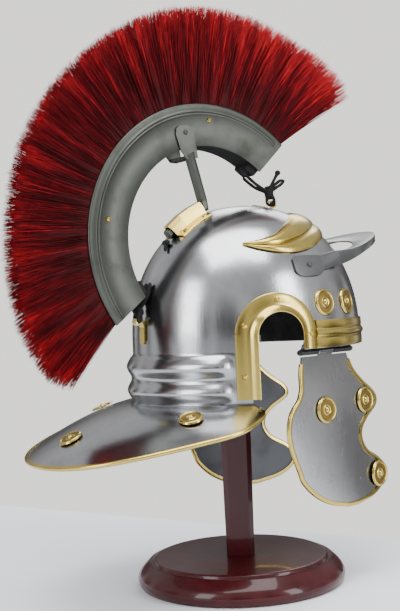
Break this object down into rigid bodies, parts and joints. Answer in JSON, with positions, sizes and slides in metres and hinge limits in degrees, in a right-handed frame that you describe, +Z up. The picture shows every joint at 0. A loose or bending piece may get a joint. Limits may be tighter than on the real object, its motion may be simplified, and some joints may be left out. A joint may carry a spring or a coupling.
{
  "type": "roman legionary helmet with a crest, on its wooden display stand",
  "caption": "Steel helmet with brass trim, hinged cheek guards, ribbed neck guard and a laced-on arched red hair crest, on a turned wooden display stand.",
  "frame": {"origin": "centre of the stand's underside", "axes": "+Z up; the helmet faces -Y; +X is the wearer's left"},
  "size_m": [0.2472, 0.4053, 0.5616],
  "materials": {
    "polished_steel": "polished sheet steel with fine brushing",
    "grey_steel": "dull grey steel with a faint green cast",
    "brass": "polished brass with light tarnish",
    "black_leather": "smooth black leather",
    "black_lace": "waxed black lace",
    "red_hair": "dyed horsehair, dark red",
    "cherry_wood": "dark red glossy lacquer on turned wood"
  },
  "bodies": {
    "helmet": {"bowl": "polished_steel", "liner": "black_leather", "neck_guard_edging": "brass", "ear_guard_right": "brass", "ear_guard_left": "brass", "ear_rivet_1_right": "brass", "ear_rivet_1_left": "brass", "ear_rivet_2_right": "brass", "ear_rivet_2_left": "brass", "ear_rivet_3_right": "brass", "ear_rivet_3_left": "brass", "ear_rivet_4_right": "brass", "ear_rivet_4_left": "brass", "brow_band": "brass", "brow_guard": "grey_steel", "brow_guard_rivet_right": "grey_steel", "brow_guard_rivet_left": "grey_steel", "brow_crescent": "brass", "brow_rosette_1_right": "brass", "brow_rosette_1_left": "brass", "brow_rosette_2_right": "brass", "brow_rosette_2_left": "brass", "neck_rosette_right": "brass", "neck_rosette_left": "brass", "neck_rosette_rear": "brass", "crest_plate_right": "grey_steel", "crest_plate_left": "grey_steel", "crest_core": "black_leather", "crest_plume": "red_hair", "crest_rivet_1_right": "brass", "crest_rivet_1_left": "brass", "crest_rivet_2_right": "brass", "crest_rivet_2_left": "brass", "crest_holder": "brass", "crest_strut": "grey_steel", "holder_knot": "black_lace", "front_hook": "brass", "rear_hook": "brass", "front_tie": "black_lace", "rear_tie": "black_lace", "hinge_leaf_right": "polished_steel", "hinge_leaf_left": "polished_steel", "hinge_pin_right": "polished_steel", "hinge_pin_left": "polished_steel", "stand_base": "cherry_wood", "stand_post": "cherry_wood", "stand_cap": "cherry_wood"},
    "cheek_right": {"cheek_guard_right": "polished_steel", "cheek_edging_right": "brass", "cheek_rosette_1_right": "brass", "cheek_rosette_2_right": "brass", "cheek_rosette_3_right": "brass"},
    "cheek_left": {"cheek_guard_left": "polished_steel", "cheek_edging_left": "brass", "cheek_rosette_1_left": "brass", "cheek_rosette_2_left": "brass", "cheek_rosette_3_left": "brass"}
  },
  "joints": [
    {"name": "cheek_right_hinge", "type": "hinge", "parent": "helmet", "child": "cheek_right", "pos_m": [-0.09098, -0.0137, 0.2245], "axis": [-0.1899, 0.9818, 0], "range_deg": [-28, 85]},
    {"name": "cheek_left_hinge", "type": "hinge", "parent": "helmet", "child": "cheek_left", "pos_m": [0.09098, -0.0137, 0.2245], "axis": [-0.1899, -0.9818, 0], "range_deg": [-28, 85]}
  ]
}
